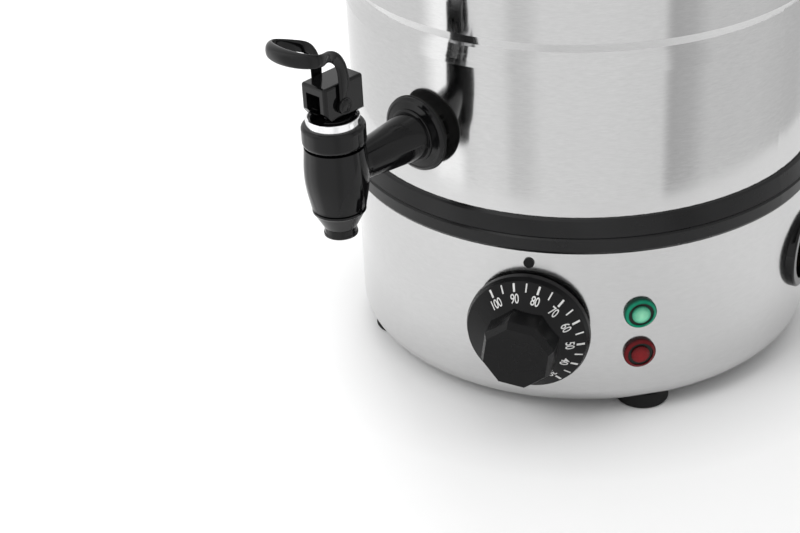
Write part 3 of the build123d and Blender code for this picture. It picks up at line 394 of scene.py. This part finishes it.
def sheet_steel(name, tone, rough, swing, hairs, aniso):
    mat, tn, tl, shader = material(name)
    place = own_place(tn)
    angle, height, radius = polar(tn, tl, place)
    run = joined(tn, tl, maths(tn, tl, "MULTIPLY", angle, 0.012), height, radius)
    fine = noise(tn, tl, run, 2600.0, 2.0)
    long_run = joined(tn, tl, maths(tn, tl, "MULTIPLY", angle, 0.03), height, radius)
    coarse = noise(tn, tl, long_run, 620.0, 2.0)
    cloud = noise(tn, tl, place, 16.0, 3.0)
    hair = maths(tn, tl, "ADD", maths(tn, tl, "MULTIPLY", fine, 0.6),
                 maths(tn, tl, "MULTIPLY", coarse, 0.4))
    dark = tuple(c * (1 - hairs) for c in tone)
    light = tuple(c * (1 + hairs) for c in tone)
    colour = mixed(tn, tl, spread(tn, tl, hair, 0.0, 1.0, 0.35, 0.65), dark, light)
    from_seam = maths(tn, tl, "ABSOLUTE", maths(tn, tl, "SUBTRACT", angle, SEAM_AT))
    seam = spread(tn, tl, maths(tn, tl, "SUBTRACT", from_seam, SEAM_HALF), 0.75, 0.0, -0.002, 0.007)
    colour = mixed(tn, tl, seam, colour, tuple(c * 0.6 for c in tone))
    tl.new(colour, shader.inputs["Base Color"])
    wiped = maths(tn, tl, "ADD", spread(tn, tl, hair, rough - swing, rough + swing),
                  spread(tn, tl, cloud, 0.0, swing * 1.2, 0.45, 0.75))
    tl.new(maths(tn, tl, "ADD", wiped, maths(tn, tl, "MULTIPLY", seam, 0.2)), shader.inputs["Roughness"])
    put(shader, Metallic=1.0, Anisotropic=aniso, Anisotropic_Rotation=0.25)
    tangent = add(tn, "ShaderNodeTangent", direction_type="RADIAL", axis="Z")
    tl.new(tangent.outputs["Tangent"], shader.inputs["Tangent"])
    bumped(tn, tl, shader, (hair, 0.06, 0.00002), (seam, 0.25, 0.0002))
    return mat


polished_steel = sheet_steel("polished_steel", (0.575, 0.575, 0.575), 0.10, 0.02, 0.035, 0.8)
base_steel = sheet_steel("base_steel", (0.555, 0.555, 0.555), 0.15, 0.03, 0.04, 0.4)
print("sheet steel ready")

# %% [markdown]
# ## Turned, drawn and plated metal
# Screws, the element, the bracket straps and the spring are plain drawn steel with a dull surface.
# The bright ring of the tap is chromed plastic: a mirror with a trace of haze. Nuts, glands and
# pins are brass with a brownish film in the hollows. Each could have a tree of its own, but they
# differ only in tone, film and polish, so one recipe serves all of them.

# %% Small metal parts
def small_metal(name, tone, film, rough, scale):
    mat, tn, tl, shader = material(name)
    place = own_place(tn)
    cloud = noise(tn, tl, place, scale, 4.0)
    fine = noise(tn, tl, place, scale * 12, 2.0)
    colour = mixed(tn, tl, spread(tn, tl, cloud, 0.0, 0.8), tone, film)
    tl.new(colour, shader.inputs["Base Color"])
    tl.new(spread(tn, tl, cloud, rough - 0.05, rough + 0.12), shader.inputs["Roughness"])
    put(shader, Metallic=1.0)
    bumped(tn, tl, shader, (fine, 0.12, 0.00003))
    return mat


drawn_steel = small_metal("drawn_steel", (0.56, 0.56, 0.55), (0.40, 0.39, 0.38), 0.28, 240.0)
bracket_steel = small_metal("bracket_steel", (0.60, 0.60, 0.59), (0.50, 0.50, 0.49), 0.24, 90.0)
brass = small_metal("brass", (0.72, 0.52, 0.24), (0.46, 0.31, 0.14), 0.26, 200.0)
copper = small_metal("copper", (0.72, 0.40, 0.26), (0.42, 0.22, 0.14), 0.3, 260.0)
ring_chrome = small_metal("ring_chrome", (0.93, 0.93, 0.94), (0.86, 0.86, 0.87), 0.07, 300.0)
print("small metals ready")

# %% [markdown]
# ## Plastics, rubber and ceramic
# The trim ring, the dial and the handles are moulded with a fine dull grain. The tap is turned out
# of a glossy moulding compound that is nearly black and mirrors the room. The feet and washers are
# rubber. A plain dark shader would look cut out of paper, so the grain is a small noise in the
# bump, and wear shows as a paler, rougher film in cloudy patches.

# %% Moulded plastic and rubber
def moulded(name, tone, film, rough, swing, grain_size, grain_depth, level):
    mat, tn, tl, shader = material(name)
    place = own_place(tn)
    cloud = noise(tn, tl, place, 45.0, 4.0)
    specks = noise(tn, tl, place, 1.0 / grain_size, 2.0)
    colour = mixed(tn, tl, spread(tn, tl, cloud, 0.0, 1.0, 0.42, 0.72), tone, film)
    tl.new(colour, shader.inputs["Base Color"])
    tl.new(spread(tn, tl, cloud, rough - swing, rough + swing), shader.inputs["Roughness"])
    put(shader, Specular_IOR_Level=level)
    bumped(tn, tl, shader, (specks, 0.25, grain_depth))
    return mat


trim_plastic = moulded("trim_plastic", (0.006, 0.006, 0.0064), (0.009, 0.009, 0.0095),
                       0.30, 0.05, 0.00035, 0.00002, 0.26)
dial_plastic = moulded("dial_plastic", (0.004, 0.004, 0.0043), (0.006, 0.006, 0.0064),
                       0.28, 0.05, 0.0003, 0.00002, 0.17)
handle_plastic = moulded("handle_plastic", (0.014, 0.014, 0.0145), (0.02, 0.02, 0.021),
                         0.42, 0.06, 0.0004, 0.00003, 0.45)
tap_gloss = moulded("tap_gloss", (0.003, 0.003, 0.0033), (0.005, 0.005, 0.0054),
                    0.10, 0.03, 0.0012, 0.000004, 0.27)
rubber = moulded("rubber", (0.006, 0.006, 0.006), (0.012, 0.012, 0.0115),
                 0.66, 0.08, 0.0002, 0.00003, 0.22)
bakelite = moulded("bakelite", (0.012, 0.011, 0.010), (0.02, 0.018, 0.016),
                   0.4, 0.05, 0.0003, 0.00002, 0.45)
ceramic = moulded("ceramic", (0.72, 0.70, 0.65), (0.60, 0.58, 0.52),
                  0.6, 0.1, 0.0003, 0.00002, 0.3)
print("plastics ready")

# %% [markdown]
# ## Pilot lamps
# Each lamp is a coloured cap pressed into the base: a bevelled rim, a darker step and a prismatic
# middle that spreads the light of the small bulb behind it. The green one is lit while the water
# is ready, the red one is dark. Clear plastic in front of a bulb could be built, but it is slow to
# render. So the colour is read from the distance to the lamp's own axis, and the prisms are a fine
# lattice in the bump. The same lattice also lifts and lowers the colour as painted glints of the
# prisms, and the colour is painted darker towards the cap's top as painted shade.

# %% Lamp caps
STOPS_R = 0.0072                        # radius of the last colour stop, just past the cap's edge
PRISM_IN, PRISM_OUT = 0.0036, 0.0042    # radii between which the prisms fade out
LATTICE = 6400.0                        # radians of the lattice for each metre


def lattice_wave(tn, tl, operation, x, y):
    """One set of slanting ridges, along the sum or the difference of x and y."""
    slant = maths(tn, tl, "MULTIPLY", maths(tn, tl, operation, x, y), LATTICE)
    return maths(tn, tl, "SINE", slant)


def lamp_cap(name, height, stops, glow):
    mat, tn, tl, shader = material(name)
    place = local_place(tn, tl, on_ray(LAMP_AZ, DRUM_R, height))
    x, y, _ = split(tn, tl, place)
    radius = polar(tn, tl, place)[2]
    cloud = noise(tn, tl, place, 420.0, 2.0)
    shade = ramp(tn, tl, maths(tn, tl, "DIVIDE", radius, STOPS_R), stops)
    shade = mixed(tn, tl, spread(tn, tl, cloud, 0.0, 0.22), shade, (0.01, 0.01, 0.01))
    lattice = maths(tn, tl, "ADD", lattice_wave(tn, tl, "ADD", x, y),
                    lattice_wave(tn, tl, "SUBTRACT", x, y))
    facets = maths(tn, tl, "MULTIPLY", lattice, spread(tn, tl, radius, 1.0, 0.0, PRISM_IN, PRISM_OUT))
    # Painted glints: the prism lattice lifts and lowers the cap's colour.
    painted_prism_glints = spread(tn, tl, facets, 0.78, 1.22, -1.2, 1.2)
    # Painted shade: the cap's colour is darker towards its top and full towards its bottom.
    painted_top_shade = spread(tn, tl, y, 0.55, 1.0, 0.007, -0.007)
    tone = add(tn, "ShaderNodeVectorMath", operation="SCALE")
    tl.new(shade, tone.inputs[0])
    tl.new(maths(tn, tl, "MULTIPLY", painted_prism_glints, painted_top_shade), tone.inputs["Scale"])
    tl.new(tone.outputs[0], shader.inputs["Base Color"])
    put(shader, Roughness=0.12, Specular_IOR_Level=0.12)
    if glow:
        tl.new(tone.outputs[0], shader.inputs["Emission Color"])
        put(shader, Emission_Strength=glow)
    bumped(tn, tl, shader, (facets, 0.35, 0.00008))
    return mat


# colours from the middle to the rim; the positions are shares of STOPS_R
green_stops = [(0.0, (0.32, 0.74, 0.50)), (0.35, (0.20, 0.62, 0.40)), (0.53, (0.06, 0.36, 0.22)),
               (0.58, (0.006, 0.06, 0.04)), (0.76, (0.004, 0.20, 0.11)), (0.86, (0.008, 0.30, 0.17)),
               (0.95, (0.004, 0.12, 0.07)), (1.0, (0.002, 0.02, 0.015))]
red_stops = [(0.0, (0.30, 0.018, 0.022)), (0.35, (0.27, 0.015, 0.019)), (0.53, (0.17, 0.010, 0.013)),
             (0.58, (0.04, 0.005, 0.004)), (0.76, (0.15, 0.007, 0.010)), (0.86, (0.22, 0.010, 0.015)),
             (0.95, (0.12, 0.005, 0.008)), (1.0, (0.012, 0.001, 0.002))]
green_cap = lamp_cap("green_cap", LAMP_HIGH_Z, green_stops, 0.30)
red_cap = lamp_cap("red_cap", LAMP_LOW_Z, red_stops, 0.0)
lamp_step = moulded("lamp_step", (0.010, 0.014, 0.011), (0.014, 0.018, 0.014),
                    0.2, 0.05, 0.0006, 0.00002, 0.2)
print("lamp caps ready")

# %% [markdown]
# ## Which solid gets which finish
# On the real urn each part comes from its own supplier with its own finish. Materials could be
# dropped on the parts one by one; a list keeps them in view together. Every solid of the frame is
# listed once. Its own default material goes, and the finish comes in its place; the meshes stay
# as they are.

# %% Dress the solids
finishes = {
    polished_steel: ["tank_shell", "tank_floor", "lid_shell", "lid_plug"],
    base_steel: ["base_shell", "bottom_plate"],
    bracket_steel: ["handle_brackets", "thermostat_plate"],
    drawn_steel: ["heating_element", "sensor_pocket", "foot_screws", "lid_screw", "dial_spindle",
                  "stem_spring", "thermostat_tabs", "cutout_tabs"],
    ring_chrome: ["tap_ring"],
    brass: ["element_glands", "floor_nuts", "inlet_pins"],
    copper: ["sensor_bulb", "capillary"],
    trim_plastic: ["trim_ring", "tap_locknut"],
    dial_plastic: ["dial_skirt", "dial_grip", "index_stud"],
    handle_plastic: ["handle_right", "handle_left", "lid_knob"],
    bakelite: ["terminal_block"],
    tap_gloss: ["tap_body", "tap_bonnet", "tap_collar", "tap_yoke", "tap_lever", "lever_pin", "lever_cam",
                "valve_stem", "inlet_shroud"],
    rubber: ["feet", "tap_washer", "tap_inner_washer", "dial_seal", "lid_pad", "stem_seal", "valve_disc"],
    green_cap: ["lamp_green"],
    red_cap: ["lamp_red"],
    lamp_step: ["lamp_inserts"],
    ceramic: ["lamp_bodies", "thermostat_body", "boil_dry_cutout"],
}
dressed = set()
for finish, names in finishes.items():
    for name in names:
        nodes[name].data.materials.clear()
        nodes[name].data.materials.append(finish)
        dressed.add(name)
print(len(dressed), "dressed,", sorted(set(nodes) - dressed), "left")

# %% [markdown]
# ## The loop lever
# The lever is one soft moulding: two flat arms rise from the pivots, lean over and spread into a
# thick ring for a finger. The solid has its body with crisp edges; the real one has none. The
# solid's edges could be bevelled one by one, but a form that is soft all over is easier to shape
# from a coarse cage, so it is made like a bent tube of eight sides. Each station along the tube is
# laid between four corner lines: the top and low edges seen from the side, and the outer and inner
# distance from the middle plane.

# %% Stations of the lever
# Forward and height of the top edge, the same of the low edge, outer and inner half width, and how
# far the inner edge stays behind the outer one; millimetres from the pivot.
ARM_STATIONS = [
    (-2.4, -1.8, 1.6, -1.8, 8.3, 6.9, 0), (-2.3, 1.4, 2.2, 1.0, 8.3, 6.9, 0),
    (-1.0, 3.4, 2.2, 3.0, 8.3, 6.9, 0), (-1.6, 5.4, 2.2, 5.0, 8.3, 6.9, 0),
    (-3.6, 7.2, 2.2, 7.2, 8.3, 6.9, 0), (-3.5, 12.0, 2.2, 12.6, 8.3, 6.9, 0),
    (-2.5, 17.0, 2.6, 16.2, 8.3, 6.9, 0), (0.2, 21.9, 4.1, 18.9, 8.4, 6.9, 0),
    (3.6, 24.4, 6.5, 20.6, 8.6, 7.0, 0)]
LOOP_STATIONS = [
    (7.4, 26.0, 9.2, 21.4, 9.8, 7.8, 0), (11.0, 27.2, 11.8, 22.2, 11.9, 10.1, 0),
    (14.8, 28.2, 15.0, 22.8, 13.6, 11.9, 0.2), (18.6, 29.0, 18.6, 23.2, 13.3, 11.2, 1.2),
    (22.2, 29.5, 22.2, 23.4, 10.8, 8.4, 3.2), (24.6, 29.8, 24.6, 23.5, 6.2, 4.4, 4.6)]
LOOP_FRONT = (25.55, 29.9, 25.55, 23.5, 0.0, 0.0, 5.0)
PIVOT = Vector((0, -0.1561, 0.1627))
RING_DROP = 1.5                 # fall of the ring's top towards its outside
RING_FROM, RING_OVER = 6, 6     # where that fall begins, and the way over which it grows
half = ARM_STATIONS + LOOP_STATIONS
stations = [(1, row) for row in half] + [(1, LOOP_FRONT)] + [(-1, row) for row in reversed(half)]


def lever_corner(station, across, up):
    """Place between the four corner lines: across runs from inner to outer, up from low to top."""
    side, (top_x, top_y, low_x, low_y, outer, inner, lag) = station
    share = (up + 1) / 2
    forward = low_x + (top_x - low_x) * share - lag * (1 - across) / 2
    height = low_y + (top_y - low_y) * share
    height -= RING_DROP * share * max(0, across) * min(1, max(0, (top_x - RING_FROM) / RING_OVER))
    width = side * (inner + (outer - inner) * (across + 1) / 2)
    return PIVOT + Vector((width, -forward, height)) / 1000


print(len(stations), "stations from boss to boss")

# %% [markdown]
# ## The lever's tube
# A short prism of eight sides is extruded upwards once for each station. A point's height then
# tells its station and its angle tells its corner, so every point can be laid in its place. A
# curve with a bevelled section would be quicker, but its section could only grow or shrink on the
# way and not change from flat to thick.

# %% Extrude and lay the lever
# place of each of the eight corners in the section, as across and up
SECTION = [(1, 0.55), (0.62, 1), (-0.62, 1), (-1, 0.55),
           (-1, -0.55), (-0.62, -1), (0.62, -1), (1, -0.55)]


def select_faces(piece, wanted):
    """Selects the faces that are wanted and nothing else; ends in edit mode."""
    bpy.ops.object.mode_set(mode="EDIT")
    bpy.ops.mesh.select_mode(type="FACE")
    bpy.ops.mesh.select_all(action="DESELECT")
    bpy.ops.object.mode_set(mode="OBJECT")
    for face in piece.data.polygons:
        face.select = wanted(face)
    bpy.ops.object.mode_set(mode="EDIT")


deselect()
bpy.ops.mesh.primitive_cylinder_add(vertices=8, radius=1.0, depth=1.0, location=(0, 0, 0.5),
                                    end_fill_type="NGON")
lever_moulding = bpy.context.object
lever_moulding.name = "lever_moulding"
bpy.ops.object.transform_apply(location=True)
select_faces(lever_moulding, lambda face: face.normal.z > 0.9)
for step in range(len(stations) - 2):
    bpy.ops.mesh.extrude_region_move(TRANSFORM_OT_translate={"value": (0, 0, 1)})
bpy.ops.object.mode_set(mode="OBJECT")
for vertex in lever_moulding.data.vertices:
    turn = (degrees(atan2(vertex.co.y, vertex.co.x)) - 90) % 360
    across, up = SECTION[round(turn / 45) % 8]
    vertex.co = lever_corner(stations[round(vertex.co.z)], across, up)
print("tube of", len(lever_moulding.data.polygons), "faces laid")

# %% [markdown]
# ## The lever's bosses
# Where the arms meet the pin, each ends in a round boss with a shallow ring pressed in its face.
# It is a disc whose outer face is inset three times, with the middle loops pushed in and out. A
# ring of its own would leave a seam.

# %% Bosses outside the cheeks
BOSS_R, BOSS_DEPTH, BOSS_REACH = 0.0034, 0.0018, 0.0078
BOSS_RING = 0.0003    # depth and inner step of the pressed ring


def boss_disc(side):
    """The round boss that turns on the pin, outside one cheek of the yoke."""
    deselect()
    bpy.ops.mesh.primitive_cylinder_add(vertices=48, radius=BOSS_R, depth=BOSS_DEPTH,
                                        rotation=(0, radians(90), 0),
                                        location=PIVOT + Vector((side * BOSS_REACH, 0, 0)))
    boss = bpy.context.object
    bpy.ops.object.transform_apply(location=True, rotation=True)
    select_faces(boss, lambda face: face.normal.x * side > 0.9)
    bpy.ops.mesh.inset(thickness=0.0007)
    bpy.ops.mesh.inset(thickness=0.00035)
    bpy.ops.transform.translate(value=(-side * BOSS_RING, 0, 0))
    bpy.ops.mesh.inset(thickness=BOSS_RING)
    bpy.ops.transform.translate(value=(side * BOSS_RING, 0, 0))
    bpy.ops.object.mode_set(mode="OBJECT")
    edge = boss.modifiers.new("soft_rim", "BEVEL")
    edge.width, edge.segments, edge.limit_method = 0.00022, 2, "ANGLE"
    bpy.ops.object.modifier_apply(modifier="soft_rim")
    return boss


bosses = [boss_disc(side) for side in (-1, 1)]
print("bosses of", [len(boss.data.polygons) for boss in bosses], "faces")

# %% [markdown]
# ## Rounding the lever
# A subdivision surface rounds the tube all at once, as a worn moulding is round. The bosses join
# it afterwards, because the same rounding would melt their rims.

# %% Round it and add the bosses
deselect()
lever_moulding.select_set(True)
bpy.context.view_layer.objects.active = lever_moulding
bpy.ops.object.mode_set(mode="EDIT")
bpy.ops.mesh.select_all(action="SELECT")
bpy.ops.mesh.normals_make_consistent(inside=False)
bpy.ops.object.mode_set(mode="OBJECT")
skin = lever_moulding.modifiers.new("soft_skin", "SUBSURF")
skin.levels = skin.render_levels = 3
bpy.ops.object.modifier_apply(modifier="soft_skin")
for boss in bosses:
    boss.select_set(True)
bpy.ops.object.join()
bpy.ops.object.shade_smooth_by_angle(angle=radians(40))
lever_moulding.data.materials.clear()
lever_moulding.data.materials.append(tap_gloss)
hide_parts("tap_lever")
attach(lever_moulding, "lever")
print("lever of", len(lever_moulding.data.polygons), "faces")

# %% [markdown]
# ## Rubber under pressure
# The rubber washer between the flange and the drum is squeezed until it hardly shows beyond the
# flange. A new ring could be turned, but the solid's washer already fits the drum's curve, so a
# merged copy of it is drawn in towards the shank's axis.

# %% Squeezed washer
WASHER_SHARE = 0.915    # how much of its radius the washer keeps
WASHER_REACH = 0.106    # reach of the point on the shank's axis that it is drawn towards


def merged_copy(node, name):
    """A copy of a solid's mesh under a new name, with its doubled points merged; left in edit mode."""
    deselect()
    copy = nodes[node].copy()
    copy.data = nodes[node].data.copy()
    copy.name = name
    bpy.context.scene.collection.objects.link(copy)
    copy.select_set(True)
    bpy.context.view_layer.objects.active = copy
    bpy.ops.object.parent_clear(type="CLEAR_KEEP_TRANSFORM")
    bpy.ops.object.transform_apply(location=True, rotation=True, scale=True)
    bpy.ops.object.mode_set(mode="EDIT")
    bpy.ops.mesh.select_all(action="SELECT")
    bpy.ops.mesh.remove_doubles(threshold=0.00001)
    return copy


squeezed = merged_copy("tap_washer", "squeezed_washer")
bpy.ops.transform.resize(value=(WASHER_SHARE, 1, WASHER_SHARE),
                         center_override=(0, -WASHER_REACH, SHANK_Z))
bpy.ops.object.mode_set(mode="OBJECT")
bpy.ops.object.shade_smooth_by_angle(angle=radians(35))
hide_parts("tap_washer")
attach(squeezed, "urn")
print("washer now", [round(v, 4) for v in squeezed.dimensions])

# %% [markdown]
# ## A copy of the spring
# The spring stands between the bonnet and the stem's button. A merged copy of the solid's spring
# takes its place, with its transform baked into its mesh. The copy is stiff and follows neither the
# urn nor the stem, so the button can sink into its coils when the lever is pressed.

# %% Spring between urn and stem
spring = merged_copy("stem_spring", "squeezed_spring")
bpy.ops.object.mode_set(mode="OBJECT")
bpy.ops.object.shade_smooth_by_angle(angle=radians(60))
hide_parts("stem_spring")
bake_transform(spring)

# %% [markdown]
# ## The dial's scale
# The knob's skirt is a cone, and its scale is printed on it in white: a thick tick for each ten
# degrees, a thin one between, and numbers that stand with their tops outwards. An image could carry
# the print, but it would blur close up. Each tick is a narrow plate with rounded ends, modelled
# flat; each number starts as text. Both are then laid on the cone point by point, so the print
# follows the slope without touching the knob's mesh.

# %% Lay print on the cone
SKIRT_LAND_DEPTH = 0.1113     # reach of the cone's outer edge along the dial's axis
CONE_R, CONE_SLOPE = 0.0260, 0.575
PRINT = 0.00006               # thickness of the print
dial_frame = on_ray(DIAL_AZ, 0, DIAL_Z)


def on_cone(piece, middle, clockwise):
    """Lays a flat mesh, whose y points outwards, on the cone at an angle from the top."""
    c, s = cos(radians(clockwise)), sin(radians(clockwise))
    for vertex in piece.data.vertices:
        x, y, z = vertex.co
        px, py = x * c + (middle + y) * s, -x * s + (middle + y) * c
        depth = SKIRT_LAND_DEPTH + (CONE_R - hypot(px, py)) * CONE_SLOPE + z
        vertex.co = dial_frame @ Vector((px, py, depth))


def flat_tick(width, length):
    """A narrow plate with rounded ends, from an extruded and bevelled plane."""
    deselect()
    bpy.ops.mesh.primitive_plane_add(size=1.0)
    tick = bpy.context.object
    bpy.ops.object.mode_set(mode="EDIT")
    bpy.ops.transform.resize(value=(width, length, 1))
    bpy.ops.mesh.extrude_region_move(TRANSFORM_OT_translate={"value": (0, 0, PRINT)})
    bpy.ops.mesh.select_all(action="SELECT")
    bpy.ops.mesh.normals_make_consistent(inside=False)
    bpy.ops.mesh.bevel(offset=width * 0.12, segments=2, affect="EDGES")
    bpy.ops.object.mode_set(mode="OBJECT")
    return tick


def printed_number(text):
    """A number as a thin solid mesh, centred on its own middle."""
    deselect()
    bpy.ops.object.text_add()
    number = bpy.context.object
    number.data.body = text
    number.data.size = 0.0050
    number.data.align_x = "CENTER"
    number.data.align_y = "CENTER"
    number.data.extrude = PRINT / 2
    number.data.space_character = 0.92
    number.data.resolution_u = 5
    number.data.offset = 0.00004
    number.scale = (0.80, 1.0, 1.0)
    bpy.ops.object.convert(target="MESH")
    bpy.ops.object.transform_apply(location=True, rotation=True, scale=True)
    ys = [v.co.y for v in number.data.vertices]
    for vertex in number.data.vertices:
        vertex.co.y -= (min(ys) + max(ys)) / 2
        vertex.co.z += PRINT / 2
    return number


print("dial's axis points to", tuple(round(v, 3) for v in dial_frame.col[2][:3]))

# %% [markdown]
# ## Printing the scale
# The scale runs from 100 down to 30, clockwise, with the same turn for each degree of heat. One
# loop could write numbers only, but the ticks between them share the same angle, so both are made
# in the same walk round the cone and then joined into one piece that turns with the knob.

# %% Print the scale
HUNDRED_AT, STEP = -37.5, 2.59      # angle of the 100, and degrees of turn for each degree of heat
TICK_OUT, TICK_IN, HALF_IN = 0.02535, 0.0222, 0.0221
TICK_WIDE, HALF_WIDE = 0.00092, 0.00062
NUMBER_R = 0.0197
print_pieces = []
for heat in range(100, 25, -5):
    clockwise = HUNDRED_AT + (100 - heat) * STEP
    whole = heat % 10 == 0
    inner = TICK_IN if whole else HALF_IN
    tick = flat_tick(TICK_WIDE if whole else HALF_WIDE, TICK_OUT - inner)
    on_cone(tick, (TICK_OUT + inner) / 2, clockwise)
    print_pieces.append(tick)
    if whole:
        number = printed_number(str(heat))
        on_cone(number, NUMBER_R, clockwise)
        print_pieces.append(number)
deselect()
for piece in print_pieces:
    piece.select_set(True)
bpy.context.view_layer.objects.active = print_pieces[0]
bpy.ops.object.join()
dial_scale = bpy.context.object
dial_scale.name = "dial_scale"
print("scale of", len(dial_scale.data.polygons), "faces")

# %% [markdown]
# ## White ink
# The print is a white ink with a slightly uneven body, a little duller where fingers rub it. A
# pure white would look lit from within beside the black knob, so its tone stays well below white.

# %% Ink the scale
white_ink, tn, tl, shader = material("white_ink")
place = own_place(tn)
cloud = noise(tn, tl, place, 260.0, 3.0)
tl.new(mixed(tn, tl, spread(tn, tl, cloud, 0.0, 1.0, 0.4, 0.75), (0.74, 0.74, 0.73), (0.56, 0.56, 0.55)),
       shader.inputs["Base Color"])
tl.new(spread(tn, tl, cloud, 0.42, 0.6), shader.inputs["Roughness"])
bumped(tn, tl, shader, (noise(tn, tl, place, 5000.0, 2.0), 0.1, 0.00002))
dial_scale.data.materials.clear()
dial_scale.data.materials.append(white_ink)
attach(dial_scale, "dial")
print("scale inked")
